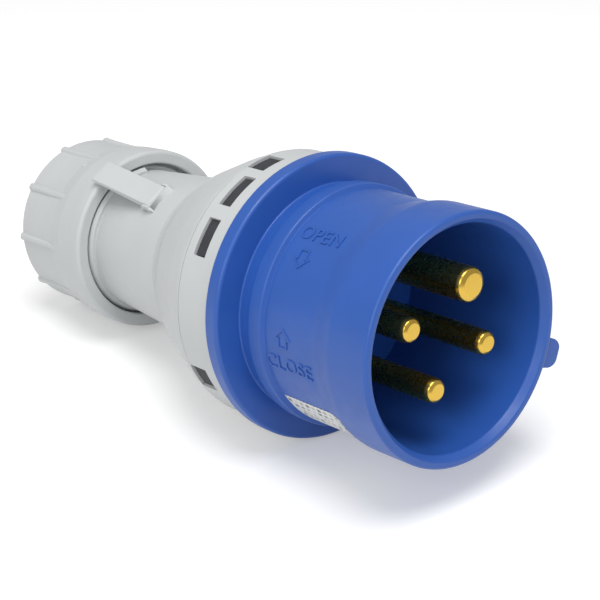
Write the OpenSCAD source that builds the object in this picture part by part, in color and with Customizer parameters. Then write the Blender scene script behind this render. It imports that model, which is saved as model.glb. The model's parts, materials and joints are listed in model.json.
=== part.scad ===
// Industrial pin and sleeve plug: 16 A, three phases and earth, with a twist-off front and a cable gland.
//
// Every piece is drawn about the plug's own axis. z is the station: the distance behind the front plane of
// the shroud. Angles run clockwise from the top, as seen from the front. lay_down() then lays the whole plug
// on its side, resting on its flange and on two ribs of the gland nut. Profiles are lists of [radius, station].

/* [Shroud] */
// Outer radius of the shroud at its mouth
shroud_r = 25; // [24:0.1:27]
// Inner radius of the shroud
bore_r = 22.4; // [21.5:0.1:22.8]
// Length of the thicker mouth
mouth_l = 10.5; // [6:0.5:12]
// Length of the taper behind the mouth
taper_l = 5; // [2:0.5:8]
// Outer radius of the waist behind the taper
waist_r = 23.9; // [23.6:0.1:24.4]
// Radius of the lip's outer edge
lip_round = 1.1; // [0.4:0.1:1.3]
// Bevel inside the lip
lip_bevel = 1; // [0.4:0.1:1.2]
// Depth from the mouth to the contact carrier's face
socket_depth = 37.6; // [34:0.2:44]

/* [Base ring and flange] */
// Outer radius of the band at the foot of the shroud
base_ring_r = 24.9; // [24.5:0.1:26]
// Length of that band
base_ring_l = 4.4; // [3:0.2:6]
// Length of the groove between the band and the flange
groove_l = 3.4; // [2:0.2:5]
// Radius at the floor of the groove
groove_r = 23.8; // [23.7:0.1:24.2]
// Outer radius of the flange
flange_r = 29.7; // [29:0.1:32]
// Thickness of the flange
flange_t = 3.5; // [3:0.1:6]
// Rounding of the flange's front edge
flange_round = 0.7; // [0.3:0.1:1]

/* [Key] */
// Angle of the key ridge from the top
key_angle = 113; // [90:1:130]
// Radius of the half-round key ridge
key_r = 3; // [2.5:0.1:3.3]
// How far the ridge stands out beyond the shroud
key_height = 4; // [3:0.1:4.4]

/* [Spigot and bayonet] */
// Radial room between the spigot and the ring's bore, which the seal fills
seal_room = 2.2; // [2:0.1:2.3]
// Wall of the spigot
spigot_wall = 1.6; // [1.4:0.1:1.8]
// Height of a bayonet lug
lug_height = 1.3; // [0.9:0.1:1.3]
// Thickness of a bayonet lug along the axis
lug_t = 2.2; // [1.5:0.1:2.4]
// Width of a bayonet lug
lug_angle = 38; // [30:1:40]
// Angle of the first lug when locked
lug_first = 27.5; // [26:0.5:29]
// Thickness of a claw along the axis
claw_t = 1.9; // [1.5:0.1:2]
// Width of a claw
claw_angle = 42; // [36:1:44]

/* [Pins] */
// Radius of the circle that the pins stand on
pin_circle_r = 10.6; // [10.4:0.1:11.2]
// Diameter of a phase pin
phase_d = 5; // [4.8:0.1:6]
// Diameter of the earth pin
earth_d = 7; // [6.6:0.1:7.4]
// Station of the phase pins' tips
phase_tip = 3.3; // [2.5:0.1:6]
// Station of the earth pin's tip
earth_tip = 1.3; // [0.8:0.1:2.3]
// Angle of the earth pin from the top
earth_angle = 24; // [10:1:40]
// Chamfer on a pin's tip
pin_chamfer = 0.7; // [0.3:0.1:1]
// How much thicker a pin's radius is inside the carrier than in front of it
shoulder_h = 0.35; // [0.2:0.05:0.5]
// Radius of the collar that holds a pin in the carrier
collar_r = 4.9; // [4.7:0.1:5]
// Length of that collar
collar_l = 2; // [1.5:0.1:3]
// Radius of the terminal barrel behind the collar
barrel_r = 4; // [3.8:0.1:4.2]
// Length of the terminal barrel
barrel_l = 15; // [14:0.5:17]
// Radius of the hole for the wire
wire_r = 2.2; // [1.8:0.1:2.6]
// Depth of the hole for the wire
wire_depth = 11.5; // [10:0.5:12.5]

/* [Terminal screws] */
// Radius of a terminal screw
screw_r = 2; // [1.8:0.1:2.2]
// Length of a terminal screw
screw_l = 6.6; // [5.5:0.1:7.5]
// How far the screw sits in front of the barrel's rear end
screw_setback = 4.5; // [4:0.5:6]
// Width of the screwdriver slot
slot_w = 0.8; // [0.6:0.1:1]
// Depth of the screwdriver slot
slot_depth = 1; // [0.6:0.1:1.4]

/* [Contact carrier and terminal block] */
// Thickness of the contact carrier
carrier_t = 7.4; // [6:0.2:9]
// Radius of the terminal block's plate
block_r = 16.8; // [16.7:0.1:19]
// Thickness of that plate
plate_t = 2; // [1.5:0.1:3]
// Wall of the sleeve round each terminal
sleeve_wall = 1.7; // [1.2:0.1:1.9]
// Radius of the block's centre post
post_r = 3.8; // [3.6:0.1:4]
// Radius of the centre screw
centre_screw_r = 1.5; // [1.2:0.1:1.8]
// Radius of the centre screw's head
centre_head_r = 2.8; // [2.4:0.1:3.4]
// Height of the centre screw's head
centre_head_h = 1.8; // [1.4:0.1:2.4]
// Depth of the centre screw in the carrier
centre_screw_grip = 5; // [3:0.5:5.5]

/* [Seal] */
// Length of the rubber sleeve
seal_l = 7.7; // [6.5:0.1:7.8]
// Height of the seal's tabs above the ring's bore, where they fill its windows and notches
tab_height = 1.1; // [0.4:0.1:1.3]
// Height of the sealing ridges on the sleeve
seal_ridge = 0.3; // [0.2:0.1:0.6]

/* [Bayonet ring] */
// Outer radius of the bayonet ring
ring_r = 28.5; // [28.3:0.1:29]
// Wall of the bayonet ring
ring_wall = 1.7; // [1.4:0.1:1.9]
// Length of the bayonet ring
ring_l = 10; // [9.6:0.2:11]
// Centre angle of the first window of each pair
window_a = -29.6; // [-31:0.2:-28]
// Centre angle of the second window of each pair
window_b = -52.5; // [-54:0.5:-51]
// Width of a window
window_angle = 16.4; // [14:0.2:18]
// Length of a window along the axis
window_l = 3.6; // [3:0.1:3.8]
// Distance from the ring's front to the windows
window_setback = 4.2; // [4:0.1:4.4]
// Centre angle of the upper notch
notch_a = -10; // [-12:1:-8]
// Centre angle of the lower notch
notch_b = -115.5; // [-118:0.5:-113]
// Width of a notch
notch_angle = 12; // [10:1:13]
// Length of a notch along the axis
notch_l = 5; // [4:0.2:6]

/* [Rear housing] */
// Wall of the rear housing
housing_wall = 2.2; // [2:0.1:2.6]
// Gap seen between the bayonet ring and the rear housing
parting = 0.25; // [0.1:0.05:0.3]
// Distance from the housing's front to the end of its cone
cone_l = 16.8; // [15:0.1:19]
// Radius at the end of the cone
cone_r = 22; // [21:0.2:23]
// Distance from the end of the cone to the neck
throat_l = 6.4; // [5:0.2:8]
// Radius at the start of the neck
throat_r = 18; // [17.6:0.1:18.4]
// Length of the neck up to its threaded end
neck_l = 24; // [22:0.5:28]
// Radius at the end of the neck
neck_r = 16.1; // [15.8:0.1:16.4]
// Inner radius of the neck
neck_bore_r = 13.2; // [12.5:0.1:13.4]
// Outer radius of the threaded end
thread_r = 16.8; // [16.6:0.1:17]
// Length of the threaded end
thread_l = 11.2; // [10.6:0.2:14]

/* [Cable gland] */
// How far the nut's front lies behind the start of the thread
nut_setback = 1.1; // [0.6:0.1:2]
// Radius of the nut at its front rim
nut_front_r = 20.6; // [20.4:0.1:21]
// Radius of the nut at its rear
nut_rear_r = 18.6; // [18.2:0.1:19]
// Length of the nut
nut_l = 26; // [25.5:0.5:29]
// Rounding of the nut's edges
nut_round = 0.9; // [0.5:0.1:1.2]
// Inner radius of the nut's mouth
nut_mouth_r = 17.6; // [17.4:0.1:17.8]
// Depth of the nut's mouth
nut_mouth_l = 3.4; // [3:0.1:5]
// Radius of the cable's way out of the nut
nut_exit_r = 10.5; // [9.5:0.1:11]
// Number of ribs on the nut
rib_count = 10; // [8:1:12]
// Radius at the top of the ribs
rib_r = 20.2; // [19.8:0.1:20.4]
// Width of a rib
rib_w = 1.5; // [1:0.1:2.4]
// Angle from the lowest point to the nearest rib
rib_offset = 15.5; // [14:0.5:18]
// Thickness of the slip ring in the nut
slip_t = 1; // [0.8:0.1:1.2]
// Number of fingers on the clamping cage
finger_count = 8; // [6:1:10]
// Thickness of a clamping finger
finger_t = 1.8; // [1.4:0.1:2]
// Length of the clamping fingers
finger_l = 6.8; // [6:0.1:7]
// Width of the gap between two clamping fingers
finger_gap = 2.4; // [1.6:0.1:3]
// Outer radius of the clamping cage
cage_r = 14.6; // [14.2:0.1:15]
// Thickness of the clamping cage's ring
cage_t = 2; // [1.6:0.1:2.4]
// Radius of the hole in the cable seal
cable_r = 6.5; // [5:0.1:8]
// Thickness of the washer behind the cable seal
washer_t = 0.6; // [0.4:0.1:0.8]
// Wall between the seat of the cable seal and the thread
seal_seat_wall = 2.5; // [2:0.1:2.9]

/* [Gland lock] */
// Angle of the lock lever from the top
lever_angle = -30.5; // [-34:0.5:-27]
// Width of the lever
lever_w = 5.8; // [4.6:0.1:6]
// Thickness of the lever's arm
lever_t = 1.5; // [1.2:0.1:1.8]
// How far the lever's tip reaches over the nut's rim
lever_reach = 1.2; // [1:0.1:3]
// Distance from the start of the neck to the lever's pin
hinge_setback = 9; // [8:0.2:10]
// Radius from the plug's axis to the lever's pin
hinge_height = 17.4; // [17.2:0.1:17.8]
// Radius of the lever's rounded root
root_r = 1.25; // [1.1:0.05:1.4]
// Radius of the lever's pin
lever_pin_r = 0.6; // [0.4:0.05:0.7]
// Thickness of the ear on each side of the lever
ear_t = 0.6; // [0.5:0.1:1.2]
// Length of the sloping front of the hinge block
block_slope = 1.8; // [1:0.1:2.4]

/* [Rating label] */
// Station of the label's front edge
label_front = 12.2; // [11:0.2:16]
// Distance from the label's rear edge to the band at the foot of the shroud
label_setback = 0.8; // [0.4:0.1:3]
// Angle of the label's upper edge
label_from = -119.5; // [-125:0.5:-116]
// Angle that the label covers
label_angle = 44; // [20:1:60]
// Thickness of the label
label_t = 0.15; // [0.1:0.05:0.3]

/* [Fits] */
// Radial gap of a running or push fit
fit = 0.08; // [0.05:0.01:0.1]
// Gap between pieces that turn or slide past each other
clear = 0.3; // [0.25:0.05:0.35]
// Gap at a seam between two moulded pieces
seam = 0.05; // [0.03:0.01:0.08]

/* [Hidden] */
$fn = 96;
eps = 0.01;

// Stations along the shroud and flange
flange_front = socket_depth;
flange_rear = flange_front + flange_t;
flange_edge = 0.4;
base_ring_rear = flange_front - groove_l;
base_ring_front = base_ring_rear - base_ring_l;
base_ring_slope = 0.5;

// Radii and stations of the spigot and bayonet
lug_count = 4;
ring_bore_r = ring_r - ring_wall;
spigot_r = ring_bore_r - seal_room;
seat_step = 0.6;
seat_r = min(spigot_r - spigot_wall, bore_r + seat_step);
lug_r = spigot_r + lug_height;
seal_slack = 0.15;
seal_t = seal_room - seal_ridge - seal_slack;
ring_front = flange_rear + clear;
ring_rear = ring_front + ring_l;
end_land = 0.3;
claw_rear = ring_rear - end_land;
lug_front = claw_rear + clear;
lug_rear = lug_front + lug_t;
spigot_end = lug_rear + end_land;
lug_pitch = 360 / lug_count;

// Stations of the carrier, pins and terminals
carrier_r = seat_r - fit;
carrier_rear = socket_depth + carrier_t;
collar_front = carrier_rear - collar_l;
shoulder_front = socket_depth + seam;
barrel_end = carrier_rear + barrel_l;
pin_pitch = 90;
phase_angles = [for (i = [1:3]) earth_angle + i * pin_pitch];
terminal_angles = concat([earth_angle], phase_angles);
block_front = carrier_rear + seam;
sleeve_bore_r = barrel_r + fit;
sleeve_r = sleeve_bore_r + sleeve_wall;
screw_station = barrel_end - screw_setback;
screw_bite = 1.6;
screw_inner = pin_circle_r + wire_r - screw_bite;
post_l = 5;
snap_count = 3;
snap_t = 1;
snap_depth = 0.4;
snap_angle = 14;

// Stations and radii of the rear housing
housing_front = ring_rear + parting;
mouth_bore_r = lug_r + clear;
mouth_bore_end = spigot_end + clear + 0.4;
housing_edge = 0.25;
cone_end = housing_front + cone_l;
neck_start = cone_end + throat_l;
thread_start = neck_start + neck_l;
neck_end = thread_start + thread_l;
seal_seat_r = thread_r - seal_seat_wall;
seal_seat_start = thread_start + 0.4;

// Stations and radii of the gland
nut_front = thread_start + nut_setback;
nut_rear = nut_front + nut_l;
nut_flare = 2.2;
nut_thread_r = thread_r + fit;
nut_thread_start = nut_front + nut_mouth_l;
nut_thread_end = neck_end + 4.4;
nut_thread_step = 1.3;
nut_end_wall = 3;
nut_exit_step = 1;
nut_taper_l = 7;
slip_play = 0.3;
chamber_r = nut_thread_r - nut_thread_step;
nut_cone_end = nut_rear - nut_end_wall;
nut_cone_slope = 0.8;
nut_cone_start = nut_cone_end - (chamber_r - nut_exit_r - nut_exit_step) / nut_cone_slope;
slip_front = nut_cone_start + slip_play;
slip_rear = nut_cone_end - slip_play;
washer_rear = neck_end + 0.25;
washer_front = washer_rear - washer_t;
cable_seal_rear = washer_front - seam;
cage_front = washer_rear + seam;
finger_taper = 1.8;
finger_root = 2;
rib_pitch = 360 / rib_count;
rib_angle = 180 - rib_offset;
rib_end = nut_rear - nut_round;
rib_full_l = 14;

// Stations of the gland lock
hinge_station = neck_start + hinge_setback;
lever_tip = nut_front + lever_reach;
lever_under_tip = nut_front_r + clear;
ear_r = hinge_height + root_r;
block_front_station = hinge_station - root_r - clear - block_slope;
block_rear_station = hinge_station + root_r + 0.4;

// The rest pose: the axis dips to the rear until flange and ribs both touch the ground
rest_r = rib_r * cos(rib_offset) + rib_w / 2 * sin(rib_offset);
rest_front = flange_rear - flange_edge;
tilt = atan((flange_r - rest_r) / (rib_end - rest_front));
axis_height = flange_r * cos(tilt) + rest_front * sin(tilt);
reach_front = lip_round * cos(tilt) - (shroud_r - lip_round) * sin(tilt) - lip_round;
reach_rear = (nut_rear - nut_round) * cos(tilt) + (nut_rear_r - nut_round) * sin(tilt) + nut_round;

// Radius of the neck at a station
function neck_at(z) = throat_r + (neck_r - throat_r) * (z - neck_start) / neck_l;

// Inner radius of the nut's cone at a station
function nut_cone_at(z) = chamber_r - nut_cone_slope * (z - nut_cone_start);

// Points along an arc about c, from one angle to another
function arc(c, r, from, to, steps = 6) = [
    for (i = [0:steps])
        let (a = from + (to - from) * i / steps)
        [c[0] + r * cos(a), c[1] + r * sin(a)]
];

// Lays the plug's own axis down in the row frame, front towards -Y
module lay_down() {
    translate([0, -(reach_front + reach_rear) / 2, axis_height])
        rotate([-90 - tilt, 0, 0])
            children();
}

// Turns what points along +X to an angle from the top
module at_angle(a) {
    rotate([0, 0, a - 90])
        children();
}

// A solid of revolution from [radius, station] points
module turned(points) {
    rotate_extrude()
        polygon(points);
}

// A hollow cylinder between two stations
module tube(outer, inner, front, rear) {
    turned([[inner, front], [outer, front], [outer, rear], [inner, rear]]);
}

// A piece of a hollow cylinder, centred on +X and covering an angle
module tube_piece(outer, inner, front, rear, angle) {
    rotate([0, 0, -angle / 2])
        rotate_extrude(angle = angle)
            polygon([[inner, front], [outer, front], [outer, rear], [inner, rear]]);
}

// A round bar along the axis between two stations
module bar(r, front, rear) {
    translate([0, 0, front])
        cylinder(r = r, h = rear - front);
}

// Stands children on the pin circle, at an angle
module on_pin_circle(a) {
    at_angle(a)
        translate([pin_circle_r, 0, 0])
            children();
}

module front_housing() {
    color("#4368B4")
    lay_down() {
        turned(front_housing_profile());
        at_angle(key_angle)
            key_ridge();
        for (i = [0:lug_count - 1])
            at_angle(lug_first + i * lug_pitch)
                tube_piece(lug_r, spigot_r - spigot_wall / 2, lug_front, lug_rear, lug_angle);
        for (i = [0:snap_count - 1])
            at_angle(i * 360 / snap_count)
                tube_piece(seat_r + spigot_wall / 2, seat_r - snap_depth, carrier_rear + seam,
                           carrier_rear + seam + snap_t, snap_angle);
    }
}

// Section of the front housing: lip, mouth, waist, band, groove, flange and spigot
function front_housing_profile() = concat(
    [[bore_r, lip_bevel + 0.4], [bore_r + lip_bevel, 0.2], [bore_r + lip_bevel + 0.3, 0]],
    arc([shroud_r - lip_round, lip_round], lip_round, -90, 0),
    [[shroud_r, mouth_l], [shroud_r - 0.25, mouth_l + taper_l / 5]],
    [[waist_r + 0.15, mouth_l + taper_l * 0.8], [waist_r, mouth_l + taper_l]],
    [[waist_r, base_ring_front], [base_ring_r - 0.2, base_ring_front + base_ring_slope / 2]],
    [[base_ring_r, base_ring_front + base_ring_slope], [base_ring_r, base_ring_rear - base_ring_slope]],
    [[base_ring_r - 0.2, base_ring_rear], [groove_r, base_ring_rear + base_ring_slope]],
    [[groove_r, flange_front]],
    arc([flange_r - flange_round, flange_front + flange_round], flange_round, -90, 0),
    [[flange_r, flange_rear - flange_edge], [flange_r - flange_edge, flange_rear]],
    [[spigot_r, flange_rear], [spigot_r, spigot_end], [seat_r, spigot_end]],
    [[seat_r, socket_depth], [bore_r, socket_depth]]
);

// The half-round ridge that fits only the right socket
module key_ridge() {
    key_edge = 0.6;
    translate([shroud_r + key_height - key_r, 0, 0]) {
        translate([0, 0, key_edge])
            cylinder(r1 = key_r - key_edge, r2 = key_r, h = key_edge);
        bar(key_r, 2 * key_edge, base_ring_front + base_ring_l / 2);
    }
}

module contact_carrier() {
    color("#1C4FA8")
    lay_down() {
        difference() {
            bar(carrier_r, socket_depth + seam, carrier_rear);
            for (a = terminal_angles)
                on_pin_circle(a) {
                    bar((a == earth_angle ? earth_d : phase_d) / 2 + shoulder_h + fit, socket_depth - 1,
                        carrier_rear);
                    bar(collar_r + fit, collar_front - seam, carrier_rear + 1);
                }
            bar(centre_screw_r + fit, carrier_rear - centre_screw_grip - 0.5, carrier_rear + 1);
        }
    }
}

module terminal_block() {
    color("#3A3D42")
    lay_down() {
        difference() {
            union() {
                bar(block_r, block_front, block_front + plate_t);
                bar(post_r, block_front, block_front + post_l);
                for (a = terminal_angles)
                    on_pin_circle(a)
                        bar(sleeve_r, block_front, barrel_end);
            }
            for (a = terminal_angles) {
                on_pin_circle(a)
                    bar(sleeve_bore_r, block_front - 1, barrel_end + 1);
                at_angle(a)
                    translate([pin_circle_r, 0, screw_station])
                        rotate([0, 90, 0])
                            cylinder(r = screw_r + clear, h = sleeve_r + 1);
            }
            bar(centre_screw_r + fit, block_front - 1, block_front + post_l + 1);
            bar(centre_head_r + fit, block_front + post_l - centre_head_h, block_front + post_l + 1);
        }
    }
}

module centre_screw() {
    head_front = block_front + post_l - centre_head_h + seam;
    color("#B9BBBE")
    lay_down() {
        difference() {
            union() {
                bar(centre_screw_r, carrier_rear - centre_screw_grip, head_front + eps);
                bar(centre_head_r, head_front, head_front + centre_head_h);
            }
            translate([-centre_head_r, -slot_w / 2, head_front + centre_head_h - slot_depth])
                cube([2 * centre_head_r, slot_w, slot_depth + 1]);
        }
    }
}

// A turned pin: chamfered tip, shaft, holding collar and terminal barrel with its two holes
module pin(d, tip, a) {
    difference() {
        on_pin_circle(a) {
            turned(concat(
                [[0, tip], [d / 2 - pin_chamfer, tip]],
                [[d / 2 - 0.2, tip + pin_chamfer * 0.6], [d / 2, tip + pin_chamfer * 1.4]],
                [[d / 2, shoulder_front], [d / 2 + shoulder_h, shoulder_front]],
                [[d / 2 + shoulder_h, collar_front], [collar_r, collar_front], [collar_r, carrier_rear]],
                [[barrel_r, carrier_rear], [barrel_r, barrel_end - 0.4], [barrel_r - 0.4, barrel_end]],
                [[0, barrel_end]]
            ));
        }
        on_pin_circle(a)
            bar(wire_r, barrel_end - wire_depth, barrel_end + 1);
        at_angle(a)
            translate([pin_circle_r, 0, screw_station])
                rotate([0, 90, 0])
                    cylinder(r = screw_r + fit, h = barrel_r + 1);
    }
}

module earth_pin() {
    color("#D7B95A")
    lay_down()
        pin(earth_d, earth_tip, earth_angle);
}

module phase_pin(i) {
    color("#D7B95A")
    lay_down()
        pin(phase_d, phase_tip, phase_angles[i]);
}

module terminal_screws() {
    color("#B9BBBE")
    lay_down()
        for (a = terminal_angles)
            at_angle(a)
                translate([screw_inner, 0, screw_station])
                    terminal_screw();
}

// One slotted screw, pointing inwards along -X from its slot
module terminal_screw() {
    difference() {
        rotate([0, 90, 0])
            cylinder(r = screw_r, h = screw_l);
        translate([screw_l - slot_depth, -slot_w / 2, -screw_r - 1])
            cube([slot_depth + 1, slot_w, 2 * screw_r + 2]);
    }
}

module spigot_seal() {
    sleeve_r0 = spigot_r + seam;
    outer = spigot_r + seal_t;
    front = flange_rear + seam;
    ridge_front = 1.2;
    ridge_pitch = 1.6;
    tab_room = 0.8;
    window_front = ring_front + window_setback;
    color("#2B2B2E")
    lay_down() {
        tube(outer, sleeve_r0, front, front + seal_l);
        for (i = [0:1])
            turned([
                [outer - 0.2, front + ridge_front + i * ridge_pitch],
                [outer + seal_ridge, front + ridge_front + i * ridge_pitch + 0.4],
                [outer + seal_ridge, front + ridge_front + i * ridge_pitch + 0.7],
                [outer - 0.2, front + ridge_front + i * ridge_pitch + 1.1]
            ]);
        for (half = [0, 180]) {
            for (a = [notch_a, notch_b])
                at_angle(a + half)
                    tube_piece(ring_bore_r + tab_height, sleeve_r0 + seal_t / 4, ring_rear - notch_l + clear,
                               claw_rear, notch_angle - tab_room);
            for (a = [window_a, window_b])
                at_angle(a + half)
                    tube_piece(ring_bore_r + tab_height, sleeve_r0 + seal_t / 4, window_front + clear,
                               window_front + window_l - clear, window_angle - tab_room);
        }
    }
}

module bayonet_ring() {
    color("#C2C5C7")
    lay_down() {
        difference() {
            union() {
                turned([
                    [ring_bore_r, ring_front],
                    [ring_r - housing_edge, ring_front],
                    [ring_r, ring_front + housing_edge],
                    [ring_r, ring_rear - housing_edge],
                    [ring_r - housing_edge, ring_rear],
                    [ring_bore_r, ring_rear]
                ]);
                for (i = [0:lug_count - 1])
                    at_angle(lug_first + i * lug_pitch)
                        tube_piece(ring_bore_r + ring_wall / 2, spigot_r + clear,
                                   claw_rear - claw_t, claw_rear, claw_angle);
            }
            for (half = [0, 180]) {
                for (a = [window_a, window_b])
                    at_angle(a + half)
                        tube_piece(ring_r + 1, ring_bore_r - 0.5, ring_front + window_setback,
                                   ring_front + window_setback + window_l, window_angle);
                for (a = [notch_a, notch_b])
                    at_angle(a + half)
                        tube_piece(ring_r + 1, ring_bore_r - 0.5, ring_rear - notch_l, ring_rear + 1,
                                   notch_angle);
            }
        }
    }
}

// Outline of the rear housing from its front to the threaded end
function housing_outer() = [
    [ring_r - 0.1 - housing_edge, housing_front],
    [ring_r - 0.1, housing_front + housing_edge],
    [ring_r - 0.35, housing_front + 0.9],
    [cone_r, cone_end - 0.6],
    [cone_r - 0.7, cone_end + 0.6],
    [cone_r - 1.8, cone_end + 1.9],
    [throat_r + 1, neck_start - 2.4],
    [throat_r + 0.3, neck_start - 0.9],
    [throat_r - 0.05, neck_start + 1],
    [neck_r, thread_start - 0.2],
    [thread_r - 0.3, thread_start],
    [thread_r, thread_start + 0.3],
    [thread_r, neck_end - 0.6],
    [thread_r - 0.6, neck_end]
];

// Inner wall of the rear housing, from the threaded end back to the front
function housing_inner() = [
    [seal_seat_r, neck_end],
    [seal_seat_r, seal_seat_start],
    [neck_bore_r, seal_seat_start],
    [neck_bore_r, neck_start + 3],
    [neck_bore_r + 1.4, neck_start - 1],
    [cone_r - housing_wall - 1.2, cone_end - 1],
    [cone_r - housing_wall, cone_end - 3],
    [mouth_bore_r - 1.9, mouth_bore_end + 1],
    [mouth_bore_r, mouth_bore_end],
    [mouth_bore_r, housing_front]
];

module rear_housing() {
    color("#C2C5C7")
    lay_down() {
        difference() {
            union() {
                turned(concat(housing_outer(), housing_inner()));
                at_angle(lever_angle)
                    hinge_block();
            }
            at_angle(lever_angle)
                hinge_pocket();
        }
    }
}

// The block on the neck that carries the lever's pin, with a sloping front
module hinge_block() {
    half_w = lever_w / 2 + fit + ear_t;
    foot = neck_at(block_front_station) - 0.8;
    slope_r = 0.4;
    translate([0, half_w, 0])
        rotate([90, 0, 0])
            linear_extrude(2 * half_w)
                polygon(concat(
                    [[foot, block_front_station], [ear_r - slope_r, block_front_station + block_slope]],
                    [[ear_r, block_front_station + block_slope + slope_r]],
                    [[ear_r, hinge_station + root_r * 0.3]],
                    [[ear_r - root_r, block_rear_station], [foot, block_rear_station]]
                ));
}

// What is taken out for the lever's root and its pin
module hinge_pocket() {
    half_w = lever_w / 2 + fit;
    depth = hinge_height - root_r - clear;
    front = hinge_station - root_r - clear;
    translate([depth, -half_w, front])
        cube([ear_r, 2 * half_w, block_rear_station + 2 * clear - front]);
    translate([hinge_height, 0, hinge_station])
        rotate([90, 0, 0])
            cylinder(r = lever_pin_r + fit / 2, h = 2 * (half_w + ear_t + 1), center = true);
}

module lock_lever() {
    color("#C2C5C7")
    lay_down()
        at_angle(lever_angle)
            difference() {
                translate([0, lever_w / 2, 0])
                    rotate([90, 0, 0])
                        linear_extrude(lever_w)
                            union() {
                                polygon(lever_profile());
                                translate([hinge_height, hinge_station])
                                    circle(r = root_r);
                            }
                translate([hinge_height, 0, hinge_station])
                    rotate([90, 0, 0])
                        cylinder(r = lever_pin_r + fit, h = lever_w + 2, center = true);
            }
}

// Side view of the lever: an arm that rises from its root to a tip over the nut's rim
function lever_profile() = [
    [hinge_height + root_r, hinge_station],
    [lever_under_tip + lever_t * 0.6, lever_tip - 0.8],
    [lever_under_tip + lever_t * 0.5, lever_tip],
    [lever_under_tip, lever_tip + 0.1],
    [lever_under_tip, nut_front - clear],
    [lever_under_tip - lever_t * 0.6, nut_front - clear - 0.4],
    [hinge_height + 0.4, hinge_station + 4.5],
    [hinge_height, hinge_station + root_r]
];

module lever_pin() {
    color("#B9BBBE")
    lay_down()
        at_angle(lever_angle)
            translate([hinge_height, 0, hinge_station])
                rotate([90, 0, 0])
                    cylinder(r = lever_pin_r, h = lever_w + 2 * (fit + ear_t), center = true);
}

module cable_seal() {
    r = seal_seat_r - fit;
    front = seal_seat_start + seam;
    rear = cable_seal_rear;
    groove = 0.8;
    groove_w = 0.6;
    groove_a = rear - 4.6;
    groove_b = groove_a - 2.6;
    color("#26282B")
    lay_down()
        turned([
            [cable_r, front], [r, front], [r, rear - 1], [r - 1, rear],
            [cable_r + 2.4, rear], [cable_r, rear - 2],
            [cable_r, groove_a + groove_w], [cable_r + groove, groove_a], [cable_r, groove_a - groove_w],
            [cable_r, groove_b + groove_w], [cable_r + groove, groove_b], [cable_r, groove_b - groove_w]
        ]);
}

// The washer that keeps the cage from biting into the seal
module thrust_washer() {
    color("#D9DBDC")
    lay_down()
        tube(seal_seat_r - fit, cable_r + 1.5, washer_front, washer_rear);
}

module clamping_cage() {
    finger_front = cage_front + cage_t;
    finger_rear = finger_front + finger_l;
    color("#8A8D90")
    lay_down() {
        difference() {
            turned([
                [cage_r - finger_t, cage_front], [cage_r, cage_front], [cage_r, finger_front + finger_root],
                [cage_r - finger_taper, finger_rear], [cage_r - finger_taper - finger_t, finger_rear],
                [cage_r - finger_t, finger_front + finger_root]
            ]);
            for (i = [0:finger_count - 1])
                at_angle(i * 360 / finger_count)
                    translate([cage_r / 2, -finger_gap / 2, finger_front])
                        cube([cage_r, finger_gap, finger_l + 1]);
        }
    }
}

module slip_ring() {
    color("#D9DBDC")
    lay_down()
        turned([
            [nut_cone_at(slip_front) - fit - slip_t, slip_front],
            [nut_cone_at(slip_front) - fit, slip_front],
            [nut_cone_at(slip_rear) - fit, slip_rear],
            [nut_cone_at(slip_rear) - fit - slip_t, slip_rear]
        ]);
}

module gland_nut() {
    color("#C2C5C7")
    lay_down() {
        turned(nut_profile());
        for (i = [0:rib_count - 1])
            at_angle(rib_angle + i * rib_pitch)
                nut_rib();
    }
}

// Section of the nut: rounded rim, flare, rounded rear, cable exit, cone, chamber, thread and mouth
function nut_profile() = concat(
    arc([nut_front_r - nut_round, nut_front + nut_round], nut_round, -90, 0),
    [[nut_front_r, nut_front + nut_flare], [nut_front_r - 0.6, nut_front + nut_flare + 5]],
    [[nut_rear_r + 0.5, nut_rear - nut_taper_l]],
    arc([nut_rear_r - nut_round, nut_rear - nut_round], nut_round, 0, 90),
    [[nut_exit_r + 0.6, nut_rear], [nut_exit_r, nut_rear - 0.6]],
    [[nut_exit_r, nut_cone_end], [nut_cone_at(nut_cone_end), nut_cone_end]],
    [[chamber_r, nut_cone_start], [chamber_r, nut_thread_end], [nut_thread_r, nut_thread_end]],
    [[nut_thread_r, nut_thread_start], [nut_mouth_r, nut_thread_start]],
    arc([nut_mouth_r + 0.5, nut_front + 0.5], 0.5, 180, 270, 3)
);

// One grip rib: full height at the rear, lost in the flare towards the rim
module nut_rib() {
    root = nut_rear_r - 1;
    translate([0, rib_w / 2, 0])
        rotate([90, 0, 0])
            linear_extrude(rib_w)
                polygon([
                    [root, nut_front + nut_flare + 2], [rib_r - 0.5, nut_front + nut_flare + 2],
                    [rib_r, rib_end - rib_full_l], [rib_r, rib_end - 0.6], [rib_r, rib_end], [root, rib_end]
                ]);
}

module rating_label() {
    rear = base_ring_front - label_setback;
    taper_end = mouth_l + taper_l;
    lift = 0.02;
    front_r = waist_r + (shroud_r - waist_r) * max(0, (taper_end - label_front) / taper_l) + lift;
    waist = waist_r + lift;
    color("#D9DAD6")
    lay_down()
        at_angle(label_from - label_angle / 2)
            rotate([0, 0, -label_angle / 2])
                rotate_extrude(angle = label_angle)
                    polygon([
                        [front_r, label_front], [front_r + label_t, label_front],
                        [waist + label_t, taper_end], [waist + label_t, rear],
                        [waist, rear], [waist, taper_end]
                    ]);
}

front_housing();
contact_carrier();
terminal_block();
centre_screw();
earth_pin();
phase_pin(0);  // phase_pin_1
phase_pin(1);  // phase_pin_2
phase_pin(2);  // phase_pin_3
terminal_screws();
spigot_seal();
bayonet_ring();
rear_housing();
cable_seal();
thrust_washer();
clamping_cage();
slip_ring();
gland_nut();
lock_lever();
lever_pin();
rating_label();
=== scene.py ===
"""Industrial pin and sleeve plug.

Every piece is drawn about the plug's own axis and then laid into the frame of the CAD model. A point there has a
radius, an angle clockwise from the top as seen from the front, and a station, the distance behind the shroud's mouth.
"""

import json
import math

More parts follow.
